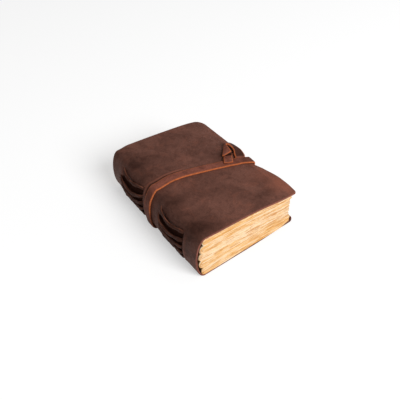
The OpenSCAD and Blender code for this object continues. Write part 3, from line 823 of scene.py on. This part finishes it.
def tie_loop(j):
    """Edges of the loop: out from under the strap, round to the left and down as a flap."""
    outer = on_cover(j, [
        (-0.83, 0.2, 0), (-0.5, 0.62, 0), (-0.11, 1.06, 0), (0.07, 1.6, 0.1), (0.16, 2.12, 0.1),
        (0.1, 2.62, 0.2), (-0.04, 3.18, 0.4), (-0.3, 3.52, 0.6), (-0.72, 3.56, 0.8),
        (-1.23, 3.28, 0.7), (-2, 2.5, 0.4), (-2.76, 1.73, 0.7)])
    inner = on_cover(j, [
        (-1.7, 0.59, 0), (-1.56, 0.98, 0), (-1.37, 1.3, 0), (-1.23, 1.64, 0.3), (-0.99, 1.97, 0.8),
        (-0.88, 2.26, 1.3), (-0.87, 2.56, 1.8), (-0.91, 2.84, 2), (-0.97, 3.03, 2.2),
        (-1.05, 3.04, 2), (-1.21, 2.45, 1.8), (-1.42, 1.81, 1.8)])
    return outer, inner


def tie_tail(j):
    """Edges of the strap's end: out from under the flap and over the strap."""
    left = on_cover(j, [(-2.32, 2.07, 0), (-2.59, 1.73, 0), (-2.92, 1.33, 0.6), (-3.15, 1.01, 1),
                        (-3.42, 0.65, 1)])
    right = on_cover(j, [(-1.31, 1.8, 0), (-1.59, 1.46, 0), (-1.88, 1.1, 0.7), (-2.14, 0.73, 1),
                         (-2.41, 0.32, 1)])
    return left, right


# Finishes

class Finish:
    """A node material put together step by step."""

    def __init__(self, name, **constants):
        self.material = bpy.data.materials.new(name)
        self.material.use_nodes = True
        self.nodes, self.links = self.material.node_tree.nodes, self.material.node_tree.links
        self.shader = self.nodes["Principled BSDF"]
        for socket, value in constants.items():
            self.shader.inputs[socket.replace("_", " ")].default_value = value
        self.place = self.add("ShaderNodeTexCoord").outputs["Object"]

    def add(self, kind, **settings):
        node = self.nodes.new(kind)
        for name, value in settings.items():
            setattr(node, name, value)
        return node

    def join(self, value, socket):
        if isinstance(value, bpy.types.NodeSocket):
            self.links.new(value, socket)
        else:
            socket.default_value = value

    def stretch(self, scale):
        node = self.add("ShaderNodeMapping")
        self.links.new(self.place, node.inputs["Vector"])
        node.inputs["Scale"].default_value = scale
        return node.outputs["Vector"]

    def noise(self, cell, detail=3.0, rough=0.5, warp=0.0, vector=None):
        """Uneven values whose patches are about one cell (metres) wide."""
        node = self.add("ShaderNodeTexNoise")
        self.links.new(vector or self.place, node.inputs["Vector"])
        for name, value in (("Scale", 1 / cell), ("Detail", detail), ("Roughness", rough),
                            ("Distortion", warp)):
            node.inputs[name].default_value = value
        return node.outputs["Fac"]

    def cells(self, cell, feature="F1"):
        node = self.add("ShaderNodeTexVoronoi", feature=feature)
        self.links.new(self.place, node.inputs["Vector"])
        node.inputs["Scale"].default_value = 1 / cell
        return node.outputs["Distance"]

    def mark(self, name):
        return self.add("ShaderNodeAttribute", attribute_name=name).outputs["Fac"]

    def sum(self, kind, a, b=0.0, c=0.0, clamp=False):
        node = self.add("ShaderNodeMath", operation=kind, use_clamp=clamp)
        for value, socket in zip((a, b, c), node.inputs):
            self.join(value, socket)
        return node.outputs[0]

    def step(self, value, low, high, start=0.0, end=1.0):
        """Maps low to high onto start to end, softly."""
        node = self.add("ShaderNodeMapRange", interpolation_type="SMOOTHSTEP")
        for number, item in zip(range(5), (value, low, high, start, end)):
            self.join(item, node.inputs[number])
        return node.outputs[0]

    def blend(self, share, a, b, kind="MIX"):
        node = self.add("ShaderNodeMix", data_type="RGBA", blend_type=kind)
        self.join(share, node.inputs[0])
        for item, socket in ((a, node.inputs[6]), (b, node.inputs[7])):
            self.join(item if isinstance(item, bpy.types.NodeSocket) else (*item[:3], 1), socket)
        return node.outputs[2]

    def bump(self, height, depth, normal=None):
        node = self.add("ShaderNodeBump")
        node.inputs["Strength"].default_value = 1
        node.inputs["Distance"].default_value = depth
        self.links.new(height, node.inputs["Height"])
        if normal:
            self.links.new(normal, node.inputs["Normal"])
        return node.outputs["Normal"]

    def done(self, base, roughness, normal):
        self.links.new(base, self.shader.inputs["Base Color"])
        self.join(roughness, self.shader.inputs["Roughness"])
        self.links.new(normal, self.shader.inputs["Normal"])
        return self.material


def dim(shade, share):
    """A colour at a share of its brightness."""
    return tuple(v * share for v in shade)


def leather_grain(f, depth):
    """Pebbled grain with pores and fine creases."""
    pebbles = f.cells(0.9 * MM, "DISTANCE_TO_EDGE")
    fine = f.noise(0.35 * MM, 4)
    creases = f.noise(5 * MM, 5, 0.6, 1.5)
    first = f.bump(f.step(pebbles, 0, 0.25), depth * 0.6)
    second = f.bump(fine, depth, first)
    return f.bump(creases, depth * 5, second)


def cover_finish(c):
    f = Finish("waxed_cover_leather", Specular_IOR_Level=0.05)
    brown, dark, worn = (np.array(v) for v in (c.brown, c.dark, c.worn))
    broad = f.noise(34 * MM, 4, 0.6, 0.8)
    cloud = f.noise(12 * MM, 6, 0.66, 1.2)
    spots = f.noise(5 * MM, 6, 0.7, 1.0)
    fine = f.noise(1.2 * MM, 4, 0.65)
    base = f.blend(f.step(broad, 0.36, 0.64, 0.0, 0.5), c.brown, mix(brown, dark, 0.7))
    base = f.blend(f.step(cloud, 0.44, 0.68, 0.0, 0.38), base, mix(brown, dark, 0.85))
    base = f.blend(f.step(f.noise(21 * MM, 5, 0.66, 1.0), 0.5, 0.7, 0.0, 0.35), base, c.worn)
    base = f.blend(f.step(spots, 0.52, 0.76, 0.0, 0.34), base, c.worn)
    base = f.blend(f.step(spots, 0.48, 0.28, 0.0, 0.34), base, mix(brown, dark, 0.9))
    patchy = f.sum("MULTIPLY", f.mark("worn"), f.step(cloud, 0.25, 0.6, 0.6, 1.1), clamp=True)
    base = f.blend(patchy, base, c.worn)
    # Painted shade on the spine side and in the groove beside the strap, with the darker patches,
    # mixed towards dark brown.
    dirty = f.sum("MULTIPLY", f.mark("shade"), f.step(cloud, 0.2, 0.7, 0.6, 1.0), clamp=True)
    base = f.blend(dirty, base, c.dark)
    # Painted shade: the leather in the recess under the laces is darkened towards near-black.
    base = f.blend(f.sum("MULTIPLY", f.mark("recess"), 0.95), base, dim(dark, 0.55))
    base = f.blend(f.mark("flesh"), base, mix(np.array(c.raw), dark, 0.6))
    base = f.blend(f.sum("MULTIPLY", f.mark("cut"), 0.8), base, c.raw)
    base = f.blend(f.step(fine, 0.25, 0.75, 0.3, 0.0), base, dim(dark, 0.6))
    gloss = f.step(f.mark("recess"), 0, 1, 0.06, 0.0)
    f.links.new(gloss, f.shader.inputs["Specular IOR Level"])
    rough = f.step(cloud, 0.25, 0.75, 0.5, 0.66)
    return f.done(base, rough, leather_grain(f, 0.12 * MM))


def strip_finish(name, face, raw, dark):
    f = Finish(name, Specular_IOR_Level=0.05)
    cloud = f.noise(7 * MM, 4, 0.6, 0.6)
    fine = f.noise(1.4 * MM, 4, 0.65)
    deep = mix(np.array(face), np.array(dark), 0.6)
    base = f.blend(f.step(cloud, 0.35, 0.7, 0.0, 0.7), face, deep)
    base = f.blend(f.step(fine, 0.3, 0.7, 0.35, 0.0), base, dark)
    # Painted shade: the shade mark darkens the face towards dim dark brown.
    base = f.blend(f.sum("MULTIPLY", f.mark("shade"), 0.8, clamp=True), base, dim(dark, 0.6))
    fibres = f.blend(f.step(f.noise(2 * MM, 4), 0.3, 0.7), raw, dim(raw, 0.7))
    base = f.blend(f.mark("cut"), base, fibres)
    return f.done(base, f.step(cloud, 0.3, 0.7, 0.5, 0.65), leather_grain(f, 0.1 * MM))


def leaf_finish(c):
    f = Finish("torn_cotton_paper", Specular_IOR_Level=0.1)
    split = f.add("ShaderNodeSeparateXYZ")
    f.links.new(f.place, split.inputs[0])

    def layered(along, through):
        joined = f.add("ShaderNodeCombineXYZ")
        for number in (0, 1):
            f.links.new(f.sum("MULTIPLY", split.outputs[number], along), joined.inputs[number])
        f.links.new(f.sum("MULTIPLY", f.mark("leaf"), through), joined.inputs[2])
        return joined.outputs[0]

    streak = f.noise(1.0, 3, 0.6, 0.25, layered(14.0, 26.0))
    line = f.noise(1.0, 3, 0.6, 0.2, layered(34.0, 62.0))
    ragged = f.noise(2.2 * MM, 4, 0.7)
    broad = f.noise(18 * MM, 3, 0.5)
    fibre = f.noise(0.9 * MM, 4, 0.7)
    outside = f.sum("ABSOLUTE", f.sum("SUBTRACT", f.mark("leaf"), 0.5))
    stain = f.sum("ADD", f.sum("MULTIPLY_ADD", f.mark("tone"), 0.06, streak),
                  f.sum("MULTIPLY_ADD", broad, 0.3, f.sum("MULTIPLY_ADD", outside, 0.22, -0.25)))
    base = f.blend(f.step(stain, 0.34, 0.58), c.cream, c.golden)
    base = f.blend(f.step(stain, 0.56, 0.74, 0.0, 0.7), base, c.amber)
    base = f.blend(f.step(line, 0.5, 0.6, 0.0, 0.75), base, c.amber)
    base = f.blend(f.step(line, 0.46, 0.36, 0.0, 0.7), base, dim(c.cream, 1.06))
    base = f.blend(f.step(ragged, 0.52, 0.68, 0.0, 0.45), base, c.golden)
    # Painted shade: amber in the deep grooves between sheets.
    base = f.blend(f.sum("MULTIPLY", f.mark("between"), 0.6), base, c.amber)
    base = f.blend(f.step(fibre, 0.3, 0.6, 0.25, 0.0), base, c.golden)
    # Painted shade: the fold faces in the gap towards the spine go near-black.
    base = f.blend(f.mark("behind"), base, dim(c.amber, 0.2))
    return f.done(base, 0.92, f.bump(fibre, 0.15 * MM))


# Table, lights and camera

TABLE_HALF, TABLE_DROP = 3.0, 0.05 * MM
TABLE_SHADE, TABLE_GLOW = 0.66, 0.445
AIM = Vector((-3.478, -5.985, 15)) * MM
LAMP_PLACE, LAMP_AIM, LAMP_SIZE = (0.58, -3.1, 2.42), (0, 0, 0.03), 2.4


def either(tree, share, first, second, out):
    """Sends the first shader to the output where share is 0, and the second where it is 1."""
    mixed = tree.nodes.new("ShaderNodeMixShader")
    for source, socket in zip((share, first.outputs[0], second.outputs[0]), mixed.inputs):
        tree.links.new(source, socket)
    tree.links.new(mixed.outputs[0], out.inputs[0])


def floor_finish(s):
    """Plain table; it looks white where it is lit, and keeps the shadow."""
    material = bpy.data.materials.new("plain_table")
    material.use_nodes = True
    tree = material.node_tree
    tree.nodes.clear()
    out, seen, plain, glow, add, path = (tree.nodes.new("ShaderNode" + kind) for kind in (
        "OutputMaterial", "BsdfDiffuse", "BsdfDiffuse", "Emission", "AddShader", "LightPath"))
    seen.inputs["Color"].default_value = (TABLE_SHADE, TABLE_SHADE, TABLE_SHADE, 1)
    plain.inputs["Color"].default_value = (*s.floor, 1)
    glow.inputs["Color"].default_value = (1, 1, 1, 1)
    glow.inputs["Strength"].default_value = TABLE_GLOW
    tree.links.new(seen.outputs[0], add.inputs[0])
    tree.links.new(glow.outputs[0], add.inputs[1])
    total = path.outputs["Is Camera Ray"]
    for ray in ("Is Glossy Ray", "Is Transmission Ray"):
        node = tree.nodes.new("ShaderNodeMath")
        node.operation = "MAXIMUM"
        tree.links.new(total, node.inputs[0])
        tree.links.new(path.outputs[ray], node.inputs[1])
        total = node.outputs[0]
    either(tree, total, plain, add, out)
    return material


def look(obj, place, target):
    obj.location = place
    obj.rotation_mode = "QUATERNION"
    obj.rotation_quaternion = (Vector(target) - Vector(place)).to_track_quat("-Z", "Y")


# Operators

class Step:
    """What all steps of the add-on share."""

    def execute(self, context):
        self.make(context.scene)
        return {"FINISHED"}


class JOURNAL_OT_cover(Step, bpy.types.Operator):
    """Make the leather cover"""
    bl_idname = "journal.cover"
    bl_label = "Leather Cover"

    def make(self, scene):
        build_cover(Journal(scene), cover_finish(scene.journal_cover))


class JOURNAL_OT_leaves(Step, bpy.types.Operator):
    """Make the five gatherings of torn leaves"""
    bl_idname = "journal.leaves"
    bl_label = "Gatherings"

    def make(self, scene):
        paper = leaf_finish(scene.journal_leaves)
        for g in range(GATHERINGS):
            build_gathering(Journal(scene), g, paper)


class JOURNAL_OT_laces(Step, bpy.types.Operator):
    """Make the five leather laces"""
    bl_idname = "journal.laces"
    bl_label = "Laces"

    def make(self, scene):
        s = scene.journal_lacing
        finish = strip_finish("lace_leather", s.brown, s.raw, scene.journal_cover.dark)
        for g in range(GATHERINGS):
            build_lace(Journal(scene), g, finish)


class JOURNAL_OT_strap(Step, bpy.types.Operator):
    """Make the tied strap"""
    bl_idname = "journal.strap"
    bl_label = "Tied Strap"

    def make(self, scene):
        s = scene.journal_strap
        finish = strip_finish("strap_leather", s.brown, s.raw, scene.journal_cover.dark)
        build_strap(Journal(scene), finish)


class JOURNAL_OT_stage(Step, bpy.types.Operator):
    """Make the table, the lights and the camera"""
    bl_idname = "journal.stage"
    bl_label = "Table, Lights and Camera"

    def make(self, scene):
        s = scene.journal_stage
        mesh = bpy.data.meshes.new("table")
        r = TABLE_HALF
        mesh.from_pydata([(-r, -r, 0), (r, -r, 0), (r, r, 0), (-r, r, 0)], [], [(0, 1, 2, 3)])
        mesh.materials.append(floor_finish(s))
        table = add_object("table", mesh)
        table.location.z = -TABLE_DROP
        camera = add_object("camera", bpy.data.cameras.new("camera"))
        camera.data.lens = s.lens
        camera.data.sensor_width = 36
        back = Vector((math.sin(s.turn) * math.cos(s.rise), -math.cos(s.turn) * math.cos(s.rise),
                       math.sin(s.rise)))
        look(camera, AIM + back * s.distance, AIM)
        camera.data.clip_start = 0.01
        scene.camera = camera
        soft = bpy.data.lights.new("softbox", "AREA")
        soft.energy, soft.size, soft.shape = s.key, LAMP_SIZE, "DISK"
        look(add_object("softbox", soft), LAMP_PLACE, LAMP_AIM)
        world = bpy.data.worlds.new("studio")
        scene.world = world
        world.use_nodes = True
        nodes = world.node_tree.nodes
        light, seen = nodes["Background"], nodes.new("ShaderNodeBackground")
        light.inputs["Strength"].default_value = s.fill
        for background in (light, seen):
            background.inputs["Color"].default_value = (1, 1, 1, 1)
        rays = nodes.new("ShaderNodeLightPath").outputs["Is Camera Ray"]
        either(world.node_tree, rays, light, seen, nodes["World Output"])
        scene.view_settings.view_transform = "Standard"


STEPS = (JOURNAL_OT_stage, JOURNAL_OT_cover, JOURNAL_OT_leaves, JOURNAL_OT_laces, JOURNAL_OT_strap)


class JOURNAL_PT_panel(bpy.types.Panel):
    """Sizes, colours and steps of the journal"""
    bl_idname = "JOURNAL_PT_panel"
    bl_label = "Leather Wrap Journal"
    bl_space_type = "VIEW_3D"
    bl_region_type = "UI"
    bl_category = "Journal"

    def draw(self, context):
        for group, _ in GROUPS:
            box = self.layout.box()
            box.label(text=group.split("_")[1].title())
            settings = getattr(context.scene, group)
            for name in settings.bl_rna.properties.keys():
                if name not in ("rna_type", "name"):
                    box.prop(settings, name)
        for step in STEPS:
            self.layout.operator(step.bl_idname)


GROUPS = (("journal_cover", CoverSettings), ("journal_leaves", LeafSettings),
          ("journal_lacing", LaceSettings), ("journal_strap", StrapSettings),
          ("journal_stage", StageSettings))


def register():
    for name, settings in GROUPS:
        bpy.utils.register_class(settings)
        setattr(bpy.types.Scene, name, PointerProperty(type=settings))
    for step in (*STEPS, JOURNAL_PT_panel):
        bpy.utils.register_class(step)


def unregister():
    for step in (JOURNAL_PT_panel, *reversed(STEPS)):
        bpy.utils.unregister_class(step)
    for name, settings in reversed(GROUPS):
        delattr(bpy.types.Scene, name)
        bpy.utils.unregister_class(settings)


def main():
    register()
    for name in ("stage", "cover", "leaves", "laces", "strap"):
        getattr(bpy.ops.journal, name)()
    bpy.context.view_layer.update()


if __name__ == "__main__":
    main()
